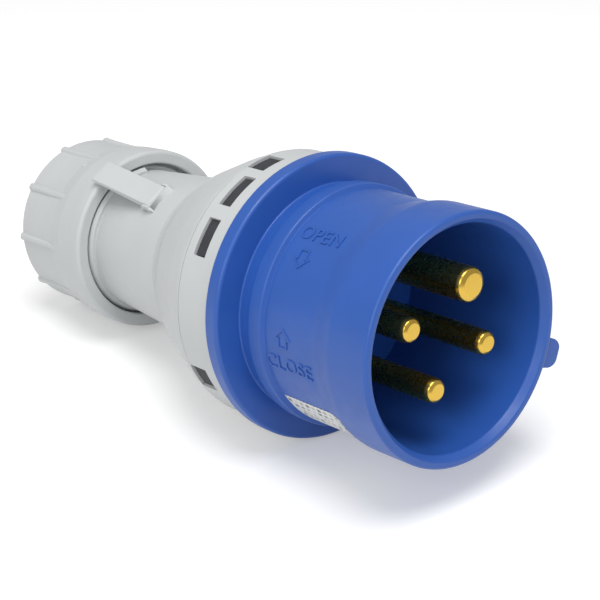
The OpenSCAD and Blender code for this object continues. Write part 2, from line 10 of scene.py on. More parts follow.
import bmesh
import bpy
from bpy.props import FloatProperty, IntProperty, PointerProperty, StringProperty
from mathutils import Matrix, Vector


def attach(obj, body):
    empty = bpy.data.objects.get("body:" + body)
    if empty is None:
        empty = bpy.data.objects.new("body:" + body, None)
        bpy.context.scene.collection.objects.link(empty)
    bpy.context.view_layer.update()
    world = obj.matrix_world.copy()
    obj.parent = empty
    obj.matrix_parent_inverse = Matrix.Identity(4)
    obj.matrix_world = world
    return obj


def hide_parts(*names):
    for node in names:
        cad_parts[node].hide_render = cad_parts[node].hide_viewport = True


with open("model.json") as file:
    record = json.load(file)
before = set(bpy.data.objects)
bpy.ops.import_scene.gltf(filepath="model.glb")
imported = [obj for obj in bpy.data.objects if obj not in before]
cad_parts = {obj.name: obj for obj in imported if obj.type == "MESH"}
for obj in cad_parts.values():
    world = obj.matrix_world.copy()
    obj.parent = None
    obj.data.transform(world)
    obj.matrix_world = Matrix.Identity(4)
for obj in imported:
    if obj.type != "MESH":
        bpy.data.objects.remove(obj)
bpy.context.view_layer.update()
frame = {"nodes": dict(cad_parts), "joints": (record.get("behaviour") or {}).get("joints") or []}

bl_info = {
    "name": "Pin and sleeve plug",
    "version": (1, 0, 0),
    "blender": (4, 5, 0),
    "location": "View3D > Sidebar > Plug",
    "description": "Builds the shells, pins, gland and finishes of an industrial plug on its CAD frame",
    "category": "Add Mesh",
}

MM = 0.001
TAU = 2 * math.pi

TWIST = next(j for j in frame["joints"] if j["name"] == "front_twist")
RING_REAR = 51.4
AXIS = Vector(TWIST["axis"]).normalized()
ACROSS = Vector((1, 0, 0))
UPRIGHT = ACROSS.cross(AXIS)
MOUTH = Vector(TWIST["pos_m"]) - AXIS * RING_REAR * MM


# Sizes and colours -------------------------------------------------------------------------------------------------


def size(name, text, millimetres):
    """A length that the sidebar shows in the scene's unit."""
    return FloatProperty(name=name, description=text, default=millimetres * MM, unit="LENGTH", precision=5)


def angle(name, text, degrees):
    """An angle clockwise from the top, as seen from the front."""
    return FloatProperty(name=name, description=text, default=math.radians(degrees), subtype="ANGLE")


def linear(code):
    """Linear RGBA of an sRGB hex code."""
    parts = [int(code.lstrip("#")[i:i + 2], 16) / 255 for i in (0, 2, 4)]
    return tuple(c / 12.92 if c <= 0.04045 else ((c + 0.055) / 1.055) ** 2.4 for c in parts) + (1.0,)


def colour(name, text, code):
    """A colour given as an sRGB hex code."""
    return StringProperty(name=name, description=text, default=code)


class ShellSizes(bpy.types.PropertyGroup):
    """Sizes of the blue front housing."""

    shroud: size("Shroud", "Outer radius of the shroud at its mouth", 25.0)
    bore: size("Bore", "Inner radius of the shroud", 22.4)
    waist: size("Waist", "Outer radius of the shroud behind its mouth", 23.9)
    flange: size("Flange", "Outer radius of the flange", 29.7)
    key: angle("Key", "Angle of the key ridge", 113)
    key_round: size("Key round", "Radius of the half-round key ridge", 3.0)
    key_top: size("Key top", "Distance from the axis to the top of the key ridge", 29.0)
    mark_rise: size("Mark rise", "Height of the raised marks", 0.22)


class PinSizes(bpy.types.PropertyGroup):
    """Sizes of the four pins."""

    circle: size("Pin circle", "Radius of the circle that the pins stand on", 10.6)
    earth: size("Earth pin", "Radius of the earth pin", 3.5)
    phase: size("Phase pin", "Radius of a phase pin", 2.5)
    first: angle("Earth angle", "Angle of the earth pin", 24)


class RearSizes(bpy.types.PropertyGroup):
    """Sizes of the grey rear assembly."""

    ring: size("Ring", "Outer radius of the bayonet ring", 28.47)
    wall: size("Ring wall", "Wall of the bayonet ring", 1.7)
    neck: size("Neck", "Radius of the neck at its rear end", 16.1)
    nut: size("Nut", "Radius of the nut at its front rim", 20.6)
    ribs: IntProperty(name="Ribs", description="Number of grip ribs on the nut", default=10, min=3)
    first_rib: angle("First rib", "Angle of the first rib", -15.5)
    rib_width: size("Rib width", "Width of a rib at its top", 1.1)
    pitch: size("Thread pitch", "Pitch of the gland's thread", 3.0)
    lever: angle("Lever", "Angle of the lock lever", -30.5)
    lever_width: size("Lever width", "Width of the lock lever", 5.8)


class Finishes(bpy.types.PropertyGroup):
    """Colours of the plug's materials."""

    blue: colour("Blue", "Moulded blue polyamide of the shroud", "#2A58AB")
    # The carrier's blue is lighter than the shell's. This is painted light, standing in for light that reaches the
    # inside of the shroud.
    carrier: colour("Carrier", "Moulded blue polyamide of the contact carrier", "#2463C4")
    grey: colour("Grey", "Moulded light grey polyamide", "#C3C6C7")
    dark: colour("Dark", "Moulded dark polyamide of the terminal block", "#3A3D42")
    pale: colour("Pale", "Moulded acetal of the gland's rings", "#D9DBDC")
    rubber: colour("Rubber", "Black rubber of the seals", "#26272B")
    brass: colour("Brass", "Turned brass of the pins", "#D9B451")
    steel: colour("Steel", "Zinc plated steel of the screws", "#B9BBBE")
    paper: colour("Label", "Printed film of the label", "#DEDFDB")
    ink: colour("Ink", "Ink of the label", "#4B4D55")


class StageSizes(bpy.types.PropertyGroup):
    """Where the camera and the lights stand."""

    azimuth: angle("Azimuth", "How far the camera stands round from the front", -40.55)
    elevation: angle("Elevation", "How far the camera looks down", 25.5)
    distance: size("Distance", "From the camera to the plane of the mouth's centre", 313.58)
    aside: size("Aside", "How far the mouth's centre lies to the right of the view's centre", 30.7)
    below: size("Below", "How far the mouth's centre lies below the view's centre", 7.83)
    lens: FloatProperty(name="Lens", description="Focal length on a 36 mm sensor", default=100.8, unit="CAMERA")
    key_power: FloatProperty(name="Key light", description="Power of the overhead light", default=4.15, unit="POWER")
    fill_power: FloatProperty(name="Fill light", description="Power of the light from the left", default=2.0,
                              unit="POWER")
    room: FloatProperty(name="Room", description="Strength of the light from all round", default=0.46)


class PlugSettings(bpy.types.PropertyGroup):
    """Everything that can be set on the plug."""

    shell: PointerProperty(type=ShellSizes)
    pins: PointerProperty(type=PinSizes)
    rear: PointerProperty(type=RearSizes)
    finish: PointerProperty(type=Finishes)
    stage: PointerProperty(type=StageSizes)


# Shapes ------------------------------------------------------------------------------------------------------------


def place(turn=0.0):
    """Matrix from the local frame at an angle to the row frame: X outwards, Y clockwise, Z along the axis."""
    out = ACROSS * math.sin(turn) + UPRIGHT * math.cos(turn)
    side = ACROSS * math.cos(turn) - UPRIGHT * math.sin(turn)
    return Matrix((
        (out.x, side.x, AXIS.x, MOUTH.x),
        (out.y, side.y, AXIS.y, MOUTH.y),
        (out.z, side.z, AXIS.z, MOUTH.z),
        (0, 0, 0, 1),
    ))


def filleted(corners, closed=True, step=math.radians(11)):
    """Points of an outline in millimetres, with an arc at each (x, y, radius) corner."""
    points, count = [], len(corners)
    for i, (x, y, radius) in enumerate(corners):
        here = Vector((x, y))
        if radius <= 0 or (not closed and i in (0, count - 1)):
            points.append(here)
            continue
        back = Vector(corners[i - 1][:2]) - here
        ahead = Vector(corners[(i + 1) % count][:2]) - here
        reach = 0.49 * min(back.length, ahead.length)
        back.normalize()
        ahead.normalize()
        opening = back.angle(ahead)
        if opening > math.radians(179.5):
            points.append(here)
            continue
        cut = min(radius / math.tan(opening / 2), reach)
        radius = cut * math.tan(opening / 2)
        centre = here + (back + ahead).normalized() * (radius / math.sin(opening / 2))
        start, end = here + back * cut - centre, here + ahead * cut - centre
        sweep = start.angle_signed(end)
        steps = max(2, math.ceil(abs(sweep) / step))
        first = math.atan2(start.y, start.x)
        for k in range(steps + 1):
            a = first - sweep * k / steps
            points.append(centre + Vector((math.cos(a), math.sin(a))) * radius)
    return points


def grid_faces(bm, rows, round_rows=True, round_columns=True):
    """Quads between rows of vertices."""
    for i in range(len(rows) if round_rows else len(rows) - 1):
        a, b = rows[i], rows[(i + 1) % len(rows)]
        for j in range(len(a) if round_columns else len(a) - 1):
            k = (j + 1) % len(a)
            corners = []
            for v in (a[j], a[k], b[k], b[j]):
                if v not in corners:
                    corners.append(v)
            if len(corners) > 2:
                bm.faces.new(corners)


def lathe(bm, section, columns=192, start=0.0, sweep=TAU):
    """A closed section of (radius, station) points in millimetres, turned about the axis."""
    whole = abs(sweep - TAU) < 1e-6
    turns = [start + sweep * j / columns for j in range(columns if whole else columns + 1)]
    rows = []
    for r, s in section:
        if abs(r) < 1e-6:
            pole = bm.verts.new((0, 0, s * MM))
            rows.append([pole] * len(turns))
        else:
            rows.append([bm.verts.new((r * MM * math.cos(t), r * MM * math.sin(t), s * MM)) for t in turns])
    grid_faces(bm, rows, round_columns=whole)
    if not whole:
        bm.faces.new([row[0] for row in rows])
        bm.faces.new([row[-1] for row in reversed(rows)])
    return bm


def slab(bm, outline, width, middle=0.0):
    """A closed outline of (radius, station) points in millimetres, given a width across."""
    sides = []
    for y in (middle - width / 2, middle + width / 2):
        sides.append([bm.verts.new((r * MM, y * MM, s * MM)) for r, s in outline])
    bm.faces.new(sides[0])
    bm.faces.new(reversed(sides[1]))
    grid_faces(bm, sides, round_rows=False)
    return bm


def solid(bm, name, material, turn=0.0, crease=38.0, merge=1e-7):
    """An object at the origin, with its place in its mesh, its faces outwards and its edges shaded."""
    bmesh.ops.remove_doubles(bm, verts=bm.verts, dist=merge)
    bmesh.ops.dissolve_degenerate(bm, dist=merge, edges=bm.edges)
    bmesh.ops.recalc_face_normals(bm, faces=bm.faces)
    mesh = bpy.data.meshes.new(name)
    bm.to_mesh(mesh)
    bm.free()
    mesh.transform(place(turn))
    piece = bpy.data.objects.new(name, mesh)
    bpy.context.scene.collection.objects.link(piece)
    mesh.materials.append(material)
    mesh.shade_smooth()
    mesh.set_sharp_from_angle(angle=math.radians(crease))
    return piece


def softened(piece, width, segments=3, limit=32.0):
    """Rounds the sharp edges of a piece."""
    bevel = piece.modifiers.new("edges", "BEVEL")
    bevel.width = width * MM
    bevel.segments = segments
    bevel.limit_method = "ANGLE"
    bevel.angle_limit = math.radians(limit)
    bevel.miter_outer = "MITER_ARC"
    return baked(piece)


def baked(piece):
    """Gives a piece the mesh that its modifiers make, and removes them."""
    graph = bpy.context.evaluated_depsgraph_get()
    mesh = bpy.data.meshes.new_from_object(piece.evaluated_get(graph), depsgraph=graph)
    piece.modifiers.clear()
    piece.data = mesh
    mesh.shade_smooth()
    mesh.set_sharp_from_angle(angle=math.radians(38))
    return piece


def joined(first, *others):
    """One piece of several."""
    bm = bmesh.new()
    for piece in (first, *others):
        bm.from_mesh(piece.data)
    bm.to_mesh(first.data)
    bm.free()
    for piece in others:
        bpy.data.objects.remove(piece)
    return first


def mounted(piece, body, slot, *nodes):
    """Evens the shading of a finished piece, and puts it on its body."""
    weights = piece.modifiers.new("even shading", "WEIGHTED_NORMAL")
    weights.keep_sharp = True
    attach(piece, body)
    if nodes:
        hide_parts(*nodes)
    return piece


# Finishes ----------------------------------------------------------------------------------------------------------


def add(tree, kind, inputs=None, **settings):
    """Adds a node with its settings, values and links."""
    made = tree.nodes.new(kind)
    for name, value in settings.items():
        setattr(made, name, value)
    for name, value in (inputs or {}).items():
        if isinstance(value, bpy.types.NodeSocket):
            tree.links.new(value, made.inputs[name])
        else:
            made.inputs[name].default_value = value
    return made


def blank(name):
    """A material with an empty tree and its output node, or the one of that name if it is made already."""
    found = bpy.data.materials.get(name)
    if found:
        return found, None, None
    material = bpy.data.materials.new(name)
    material.use_nodes = True
    material.node_tree.nodes.clear()
    return material, material.node_tree, add(material.node_tree, "ShaderNodeOutputMaterial")


def moulded(name, code, rough=0.42, grain=0.35, depth=0.012, mottle=0.05, shine=0.5, sink=9.0):
    """Injection moulded plastic: a fine spark-eroded grain, faint flow clouds, and a roughness that wanders."""
    material, tree, out = blank(name)
    if tree is None:
        return material
    where = add(tree, "ShaderNodeTexCoord").outputs["Object"]
    # Flow clouds of the melt, about 1 / sink of a centimetre across, which lighten and darken the colour a little
    clouds = add(tree, "ShaderNodeTexNoise", {"Vector": where, "Scale": 1000 / sink, "Detail": 3.0, "Roughness": 0.55})
    shade = add(tree, "ShaderNodeMapRange", {
        "Value": clouds.outputs["Fac"], "From Min": 0.25, "From Max": 0.75, "To Min": 1 - mottle,
        "To Max": 1 + mottle})
    tint = add(tree, "ShaderNodeVectorMath", {0: linear(code)[:3], "Scale": shade.outputs["Result"]},
               operation="SCALE")
    wander = add(tree, "ShaderNodeTexNoise", {"Vector": where, "Scale": 1000 / 2.6, "Detail": 4.0})
    gloss = add(tree, "ShaderNodeMapRange", {
        "Value": wander.outputs["Fac"], "From Min": 0.3, "From Max": 0.7, "To Min": rough - 0.04,
        "To Max": rough + 0.05})
    # The grain of the mould, drawn coarser than the real tenth of a millimetre so that it shows
    pits = add(tree, "ShaderNodeTexNoise", {"Vector": where, "Scale": 1000 / grain, "Detail": 2.0})
    bump = add(tree, "ShaderNodeBump", {"Height": pits.outputs["Fac"], "Strength": 0.35, "Distance": depth * MM})
    shader = add(tree, "ShaderNodeBsdfPrincipled", {
        "Base Color": tint.outputs["Vector"], "Roughness": gloss.outputs["Result"], "Normal": bump.outputs["Normal"],
        "IOR": 1.5, "Specular IOR Level": shine})
    tree.links.new(shader.outputs["BSDF"], out.inputs["Surface"])
    return material


def rubber(name, code):
    """Moulded rubber: matt and nearly black, with a dusty bloom."""
    material, tree, out = blank(name)
    if tree is None:
        return material
    where = add(tree, "ShaderNodeTexCoord").outputs["Object"]
    bloom = add(tree, "ShaderNodeTexNoise", {"Vector": where, "Scale": 1000 / 3.0, "Detail": 5.0})
    tint = add(tree, "ShaderNodeMix", {
        "Factor": bloom.outputs["Fac"], "A": linear(code), "B": linear("#3E4046")}, data_type="RGBA")
    shader = add(tree, "ShaderNodeBsdfPrincipled", {"Roughness": 0.72, "IOR": 1.5})
    tree.links.new(tint.outputs["Result"], shader.inputs["Base Color"])
    tree.links.new(shader.outputs["BSDF"], out.inputs["Surface"])
    return material


def metal(name, code, rough, rings=0.22, depth=0.004):
    """Turned metal: fine bumps from a noise for tool marks, and a roughness that wanders with handling."""
    material, tree, out = blank(name)
    if tree is None:
        return material
    where = add(tree, "ShaderNodeTexCoord").outputs["Object"]
    smudge = add(tree, "ShaderNodeTexNoise", {"Vector": where, "Scale": 1000 / 1.8, "Detail": 4.0})
    gloss = add(tree, "ShaderNodeMapRange", {
        "Value": smudge.outputs["Fac"], "From Min": 0.3, "From Max": 0.7, "To Min": rough - 0.01,
        "To Max": rough + 0.02})
    marks = add(tree, "ShaderNodeTexNoise", {"Vector": where, "Scale": 1000 / rings, "Detail": 2.0})
    bump = add(tree, "ShaderNodeBump", {"Height": marks.outputs["Fac"], "Strength": 0.05, "Distance": depth * MM})
    shader = add(tree, "ShaderNodeBsdfPrincipled", {
        "Base Color": linear(code), "Metallic": 1.0, "Roughness": gloss.outputs["Result"],
        "Normal": bump.outputs["Normal"]})
    tree.links.new(shader.outputs["BSDF"], out.inputs["Surface"])
    return material


def printed(name, paper, ink):
    """Printed film: rows of short dashes stand for the print. The label's own map is in millimetres."""
    material, tree, out = blank(name)
    if tree is None:
        return material
    where = add(tree, "ShaderNodeUVMap", uv_map="millimetres").outputs["UV"]
    dashes = add(tree, "ShaderNodeTexBrick", {
        "Vector": where, "Color1": linear(paper), "Color2": linear(ink), "Mortar": linear(paper), "Scale": 1.0,
        "Mortar Size": 0.34, "Mortar Smooth": 0.1, "Bias": 0.15, "Brick Width": 1.7, "Row Height": 1.5},
        offset=0.4, squash=0.6, squash_frequency=3)
    shader = add(tree, "ShaderNodeBsdfPrincipled", {"Base Color": dashes.outputs["Color"], "Roughness": 0.35})
    tree.links.new(shader.outputs["BSDF"], out.inputs["Surface"])
    return material


def finish_of(kind):
    """The material of one of the plug's finishes."""
    f = bpy.context.scene.plug.finish
    return {
        "blue": lambda: moulded("Polyamide moulded blue", f.blue, rough=0.4, mottle=0.045),
        # The carrier's lighter blue is painted light inside the shroud.
        "carrier": lambda: moulded("Polyamide insert blue lightened as painted light", f.carrier, rough=0.5, mottle=0.04),
        "grey": lambda: moulded("Polyamide moulded grey", f.grey, rough=0.46, mottle=0.02),
        "dark": lambda: moulded("Polyamide moulded dark", f.dark, rough=0.5),
        "pale": lambda: moulded("Acetal moulded pale", f.pale, rough=0.35, mottle=0.02),
        "rubber": lambda: rubber("Rubber moulded black", f.rubber),
        "brass": lambda: metal("Brass turned", f.brass, 0.27),
        "steel": lambda: metal("Steel zinc plated", f.steel, 0.34),
        "label": lambda: printed("Polyester film printed", f.paper, f.ink),
    }[kind]()


# Pieces ------------------------------------------------------------------------------------------------------------


def shell_rows(shell):
    """The front housing's section as rows (radius, station, ridge), in order from the bore's front."""
    bore, rim, waist, flange = (v / MM for v in (shell.bore, shell.shroud, shell.waist, shell.flange))
    section = filleted([
        (bore, 1.5, 0.8), (bore + 1.1, 0.06, 0.45), (rim, 0.06, 1.1), (rim, 10.6, 7), (waist, 15.6, 7),
        (waist, 29.75, 0.12), (rim - 0.1, 30.3, 0.5), (rim - 0.1, 33.7, 0.5), (waist - 0.1, 34.3, 0.25),
        (waist - 0.1, 37.6, 0.35), (flange, 37.6, 0.8), (flange, 41.1, 0.45), (24.6, 41.1, 0.15),
        (24.6, 53.9, 0.3), (23.0, 53.9, 0.3), (23.0, 37.6, 0), (bore, 37.6, 0),
    ], step=math.radians(8))
    front, rear = 0.65, 32.0
    stops = [front, front + 0.06, front + 0.18, front + 0.36, front + 0.6]
    rows = []
    count = len(section)
    for i, (r, s) in enumerate(section):
        outside = r > waist - 0.15 and s <= rear and not (s < 3 and r < rim - 0.6)
        rows.append((r, s, outside and front < s < rear))
        r2, s2 = section[(i + 1) % count]
        if not outside or s2 <= s:
            continue
        for stop in stops + [rear]:
            if s < stop < s2 or (stop == rear and s < stop <= s2):
                r_here = r + (r2 - r) * (stop - s) / (s2 - s)
                if stop == front:
                    rows.append((r_here, stop, False))
                rows.append((r_here, stop, True))
                if stop == rear:
                    rows.append((r_here, stop, False))
    return rows, front


def shell_mesh(shell, columns=176):
    """The shroud, band and flange in one surface with the key ridge that grows out of it."""
    rim, round_, top = shell.shroud / MM, shell.key_round / MM, shell.key_top / MM
    axis, flare, edge = top - round_, 0.5, 0.6
    ridge = [(round_ * math.sin(a), axis + round_ * math.cos(a)) for a in
             (math.radians(d) for d in range(-90, 91, 10))]
    skirt = [(round_ + flare * (1 - math.cos(a)), flare * (1 - math.sin(a))) for a in
             (math.radians(d) for d in (0, 22.5, 45, 67.5, 90))]
    places = [("foot", -w, h) for w, h in reversed(skirt)] + [("ridge", w, h) for w, h in ridge]
    places += [("foot", w, h) for w, h in skirt]
    reach = math.asin((skirt[-1][0]) / rim)
    turns = [reach + (TAU - 2 * reach) * k / columns for k in range(1, columns)]
    rows, front = shell_rows(shell)
    bm = bmesh.new()
    grid = []
    for r, s, raised in rows:
        line = []
        for kind, w, h in places:
            if raised and kind == "ridge":
                lift = max(0.0, front + edge - s)
                cap = top - edge + math.sqrt(max(0.0, edge ** 2 - lift ** 2))
                line.append(bm.verts.new((min(h, cap) * MM, w * MM, s * MM)))
            else:
                around = math.asin(w / rim)
                radius = r + h if raised and kind == "foot" else r
                line.append(bm.verts.new((radius * MM * math.cos(around), radius * MM * math.sin(around), s * MM)))
        for t in turns:
            line.append(bm.verts.new((r * MM * math.cos(t), r * MM * math.sin(t), s * MM)))
        grid.append(line)
    grid_faces(bm, grid)
    return bm


class PLUG_OT_front_housing(bpy.types.Operator):
    """Builds the blue shroud with its lip, band, flange, key ridge and bayonet lugs"""

    bl_idname = "plug.front_housing"
    bl_label = "Front housing"

    def execute(self, context):
        shell = context.scene.plug.shell
        blue = finish_of("blue")
        housing = solid(shell_mesh(shell), "front_housing_shell", blue, shell.key)
        lug = filleted([(23.9, 51.4, 0), (25.9, 51.4, 0.3), (25.9, 53.6, 0.3), (23.9, 53.6, 0)])
        snap = filleted([(23.6, 45.05, 0), (22.6, 45.05, 0), (22.6, 46.05, 0.3), (23.6, 46.05, 0)])
        bm = bmesh.new()
        for k in range(4):
            lathe(bm, lug, 16, math.radians(27.5 - 19 + 90 * k), math.radians(38))
        for k in range(3):
            lathe(bm, snap, 8, math.radians(-7 + 120 * k), math.radians(14))
        joined(housing, solid(bm, "lugs", blue))
        mounted(housing, "front", "blue_shell", "front_housing")
        return {"FINISHED"}


def wrapped(mesh, radius, turn, station, rise):
    """Bends flat artwork round the shroud: its X runs forwards, its Y clockwise, its Z outwards."""
    for v in mesh.vertices:
        x, y, z = v.co
        a = y / radius
        out = radius + (rise if z > 1e-6 else -0.3 * MM)
        v.co = (out * math.cos(a), out * math.sin(a), station - x)
    mesh.transform(place(turn))


def word(text, height):
    """Plain raised capitals, as flat artwork in metres."""
    font = bpy.data.curves.new(text, "FONT")
    font.body = text
    font.size = height / 0.73
    font.align_x, font.align_y = "CENTER", "CENTER"
    font.extrude = 0.1 * MM
    font.offset = 0.02 * MM
    font.space_character = 1.12
    piece = bpy.data.objects.new(text, font)
    bpy.context.scene.collection.objects.link(piece)
    graph = bpy.context.evaluated_depsgraph_get()
    graph.update()
    mesh = bpy.data.meshes.new_from_object(piece.evaluated_get(graph), depsgraph=graph)
    bpy.data.objects.remove(piece)
    return mesh


def arrow(way, wide, line):
    """A raised outline of a block arrow, as flat artwork in millimetres, pointing along Y."""
    half, stem = wide / 2, wide * 0.27
    outer = [(-stem, -1.7), (stem, -1.7), (stem, 0.1), (half, 0.1), (0, 2.3), (-half, 0.1), (-stem, 0.1)]
    inner = [(-stem + line, -1.7 + line), (stem - line, -1.7 + line), (stem - line, 0.1 + line),
             (half - 2.2 * line, 0.1 + line), (0, 2.3 - 1.6 * line), (-half + 2.2 * line, 0.1 + line),
             (-stem + line, 0.1 + line)]
    bm = bmesh.new()
    rings = [[bm.verts.new((x * MM, y * MM * way, z * 0.1 * MM)) for x, y in ring]
             for ring, z in ((outer, -1), (outer, 1), (inner, 1), (inner, -1))]
    grid_faces(bm, rings)
    mesh = bpy.data.meshes.new("arrow")
    bmesh.ops.recalc_face_normals(bm, faces=bm.faces)
    bm.to_mesh(mesh)
    bm.free()
    return mesh


class PLUG_OT_marks(bpy.types.Operator):
    """Builds the raised arrows and words that show which way the front turns"""

    bl_idname = "plug.marks"
    bl_label = "Raised marks"

    def execute(self, context):
        shell = context.scene.plug.shell
        blue = finish_of("blue")
        marks = (
            ("mark_open", word("OPEN", 3.0 * MM), -34.5, 22.8),
            ("arrow_open", arrow(-1, 4.6, 0.3), -46.8, 24.4),
            ("mark_close", word("CLOSE", 3.0 * MM), -98.5, 23.2),
            ("arrow_close", arrow(1, 4.6, 0.3), -86.0, 24.4),
        )
        for name, mesh, turn, station in marks:
            wrapped(mesh, shell.waist, math.radians(turn), station * MM, shell.mark_rise)
            piece = bpy.data.objects.new(name, mesh)
            context.scene.collection.objects.link(piece)
            mesh.materials.clear()
            mesh.materials.append(blue)
            bm = bmesh.new()
            bm.from_mesh(mesh)
            bmesh.ops.remove_doubles(bm, verts=bm.verts, dist=1e-7)
            bmesh.ops.recalc_face_normals(bm, faces=bm.faces)
            bm.to_mesh(mesh)
            bm.free()
            mounted(softened(piece, 0.07, 2, 50), "front", "blue_shell")
        return {"FINISHED"}


class PLUG_OT_label(bpy.types.Operator):
    """Builds the printed label on the underside of the shroud"""

    bl_idname = "plug.label"
    bl_label = "Label"

    def execute(self, context):
        shell = context.scene.plug.shell
        waist, rim = shell.waist / MM, shell.shroud / MM
        start, sweep, columns = math.radians(-163.5), math.radians(44), 40
        path = [(waist, 28.9), (waist, 22.0), (waist, 16.0), (waist + 0.06, 15.0), (waist + 0.35, 13.8),
                (waist + (rim - waist) * 0.66, 12.2)]
        bm = bmesh.new()
        film = bm.loops.layers.uv.new("millimetres")
        sheets = []
        for lift in (0.02, 0.12):
            sheets.append([[bm.verts.new((
                (r + lift) * MM * math.cos(start + sweep * j / columns),
                (r + lift) * MM * math.sin(start + sweep * j / columns), s * MM)) for j in range(columns + 1)]
                for r, s in path])
        inner, outer = sheets
        for sheet in sheets:
            grid_faces(bm, sheet, round_rows=False, round_columns=False)
        rim_in = inner[0] + [row[-1] for row in inner[1:-1]] + inner[-1][::-1] + [row[0] for row in inner[-2:0:-1]]
        rim_out = outer[0] + [row[-1] for row in outer[1:-1]] + outer[-1][::-1] + [row[0] for row in outer[-2:0:-1]]
        grid_faces(bm, [rim_in, rim_out], round_rows=False)
        for face in bm.faces:
            for loop in face.loops:
                x, y, z = loop.vert.co
                turn = (math.atan2(y, x) - start) % TAU
                loop[film].uv = (-z / MM, turn * waist)
        label = solid(bm, "label_film", finish_of("label"))
        mounted(label, "front", "label", "rating_label")
        return {"FINISHED"}


class PLUG_OT_pins(bpy.types.Operator):
    """Builds the earth pin and the three phase pins, with crowned tips and bored terminals"""

    bl_idname = "plug.pins"
    bl_label = "Pins"

    def execute(self, context):
        pins = context.scene.plug.pins
        brass = finish_of("brass")
        for k in range(4):
            name = "earth_pin" if k == 0 else f"phase_pin_{k}"
            r = (pins.earth if k == 0 else pins.phase) / MM
            tip = 1.3 if k == 0 else 3.3
            crown = 1.15 if k == 0 else 0.9
            section = filleted([
                (0, tip, 0), (r - crown, tip, 0.5), (r - 0.28, tip + 0.45, 0.7), (r, tip + 1.3, 0.9),
                (r, 37.65, 0), (r + 0.35, 37.65, 0), (r + 0.35, 43.0, 0), (4.9, 43.0, 0.15), (4.9, 45.0, 0.15), (4.0, 45.0, 0), (4.0, 60.0, 0.4),
                (2.2, 60.0, 0.2), (2.2, 48.5, 0), (0, 47.6, 0)], closed=False)
            bm = lathe(bmesh.new(), [p[:] for p in section][:], 64)
            bmesh.ops.translate(bm, verts=bm.verts, vec=(pins.circle, 0, 0))
            pin = solid(bm, name + "_turned", brass, pins.first + k * TAU / 4)
            mounted(pin, "front", "brass", name)
        return {"FINISHED"}


class PLUG_OT_bayonet_ring(bpy.types.Operator):
    """Builds the grey bayonet ring with its windows, notches and claws"""

    bl_idname = "plug.bayonet_ring"
    bl_label = "Bayonet ring"

    def execute(self, context):
        rear = context.scene.plug.rear
        r, front, back = rear.ring / MM, 41.4, RING_REAR
        gaps = []
        for half in (0, 180):
            for middle, width, s0, s1 in ((-29.6, 16.4, 45.6, 49.2), (-52.5, 16.4, 45.6, 49.2),
                                          (-10, 12, 46.4, back), (-115.5, 12, 46.4, back)):
                gaps.append(((middle + half - width / 2) % 360, (middle + half + width / 2) % 360, s0, s1))
        edges = sorted({round(e, 4) for a, b, _, _ in gaps for e in (a, b)})
        turns = []
        for i, a in enumerate(edges):
            b = edges[(i + 1) % len(edges)] + (360 if i == len(edges) - 1 else 0)
            steps = max(1, round((b - a) / 3))
            turns += [a + (b - a) * k / steps for k in range(steps)]
        stations = [front, 43.5, 45.6, 46.4, 47.8, 49.2, back]
        bm = bmesh.new()
        rows = [[bm.verts.new((r * MM * math.cos(math.radians(t)), r * MM * math.sin(math.radians(t)), s * MM))
                 for t in turns] for s in stations]
        for i in range(len(stations) - 1):
            for j in range(len(turns)):
                k = (j + 1) % len(turns)
                middle = (turns[j] + ((turns[k] - turns[j]) % 360) / 2) % 360
                level = (stations[i] + stations[i + 1]) / 2
                if any((middle - a) % 360 < (b - a) % 360 and s0 < level < s1 for a, b, s0, s1 in gaps):
                    continue
                bm.faces.new((rows[i][j], rows[i][k], rows[i + 1][k], rows[i + 1][j]))
        bmesh.ops.delete(bm, geom=[v for v in bm.verts if not v.link_faces], context="VERTS")
        grey = finish_of("grey")
        ring = solid(bm, "bayonet_ring_shell", grey)
        wall = ring.modifiers.new("wall", "SOLIDIFY")
        wall.thickness = rear.wall
        outwards = ring.data.polygons[0].normal.dot(
            ring.data.polygons[0].center - MOUTH - AXIS * (ring.data.polygons[0].center - MOUTH).dot(AXIS)) > 0
        wall.offset = -1 if outwards else 1
        wall.use_even_offset = True
        softened(ring, 0.12)
        claw = filleted([(27.6, 49.2, 0), (24.9, 49.2, 0.3), (24.9, 51.1, 0.3), (27.6, 51.1, 0)])
        bm = bmesh.new()
        for k in range(4):
            lathe(bm, claw, 16, math.radians(27.5 - 21 + 90 * k), math.radians(42))
        joined(ring, solid(bm, "claws", grey))
        mounted(ring, "rear", "grey_shell", "bayonet_ring")
        return {"FINISHED"}


